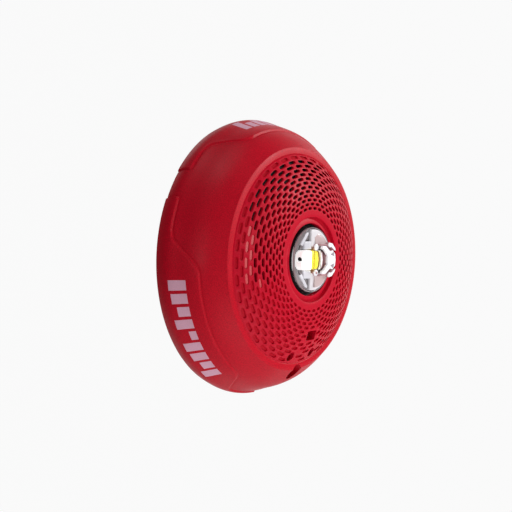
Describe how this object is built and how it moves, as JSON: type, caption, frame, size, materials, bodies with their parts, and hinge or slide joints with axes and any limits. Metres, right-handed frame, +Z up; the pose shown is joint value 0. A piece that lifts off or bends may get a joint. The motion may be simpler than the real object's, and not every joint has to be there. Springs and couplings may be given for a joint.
{
  "type": "fire alarm sounder strobe",
  "caption": "Round red wall or ceiling alarm sounder with a domed slotted grille, a clear LED strobe lens in its centre and a hook-on mounting plate behind.",
  "frame": {"origin": "centre of the mounting plate's rear face, on the wall", "axes": "+Y into the wall along the device axis, -Y out of the face, +Z up towards the hook line at 12 o'clock, +X to the viewer's right"},
  "size_m": [0.173, 0.0625, 0.173],
  "materials": {
    "red_plastic": "fine matt moulded grain",
    "red_face": "fine matt moulded grain",
    "black_plastic": "satin moulded",
    "grey_plastic": "satin moulded",
    "white_plastic": "matt white",
    "switch_blue": "satin",
    "clear_plastic": "clear polycarbonate",
    "phosphor": "yellow phosphor under clear resin",
    "rubber": "matt",
    "circuit_board": "green solder mask",
    "chip_black": "matt epoxy",
    "capacitor_sleeve": "shrink sleeve",
    "ferrite": "dark ferrite",
    "copper_winding": "enamelled copper wire",
    "brass": "satin brass",
    "nickel_contact": "nickel plated",
    "zinc_steel": "zinc plated",
    "aluminium": "plain sheet",
    "piezo_ceramic": "silvered ceramic"
  },
  "bodies": {
    "plate": {"mounting_plate": "grey_plastic", "thread_insert": "brass", "terminal_block": "black_plastic", "terminal_strips": "nickel_contact", "terminal_clamps": "nickel_contact", "terminal_screws": "zinc_steel"},
    "head": {"front_housing": "red_plastic", "screw_boss": "red_plastic", "front_grille": "red_face", "rear_cover": "black_plastic", "cover_screws": "zinc_steel", "horn_chamber": "black_plastic", "chamber_gasket": "rubber", "sounder_diaphragm": "brass", "piezo_element": "piezo_ceramic", "sounder_retainer": "black_plastic", "sounder_contacts": "brass", "main_board": "circuit_board", "board_screws": "zinc_steel", "capacitors": "capacitor_sleeve", "coil_core": "ferrite", "coil_winding": "copper_winding", "driver_chips": "chip_black", "contact_blades": "brass", "strobe_pedestal": "black_plastic", "heat_spreader": "aluminium", "led_board": "circuit_board", "led_pins": "brass", "led_carrier": "white_plastic", "led_emitter": "phosphor", "led_optic": "clear_plastic", "strobe_lens": "clear_plastic", "lens_seal": "rubber", "tone_switch": "switch_blue", "light_switch": "black_plastic"},
    "tone_selector": {"tone_selector": "white_plastic"},
    "light_slider": {"light_slider": "white_plastic"},
    "screw_retainer": {"screw_retainer": "zinc_steel"},
    "captive_screw": {"captive_screw": "zinc_steel"}
  },
  "joints": [
    {"name": "head_swing", "type": "hinge", "parent": "plate", "child": "head", "pos_m": [0, -0.0034, 0.076], "axis": [-1, 0, 0], "range_deg": [0, 14]},
    {"name": "tone_selector_turn", "type": "hinge", "parent": "head", "child": "tone_selector", "pos_m": [-0.024, -0.0106, -0.054], "axis": [0, 1, 0], "range_deg": [0, 315]},
    {"name": "light_slider_slide", "type": "slide", "parent": "head", "child": "light_slider", "axis": [1, 0, 0], "range_m": [-0.0075, 0.0075]},
    {"name": "captive_screw_travel", "type": "slide", "parent": "head", "child": "screw_retainer", "axis": [0, -1, 0], "range_m": [-0.00595, 0]},
    {"name": "captive_screw_turn", "type": "hinge", "parent": "screw_retainer", "child": "captive_screw", "pos_m": [0.0024, -0.02, -0.0712], "axis": [0, -1, 0], "range_deg": [-2700, 0]}
  ],
  "couplings": [
    {"joint": "captive_screw_turn", "follows": "captive_screw_travel", "rad_per_m": 7920}
  ]
}
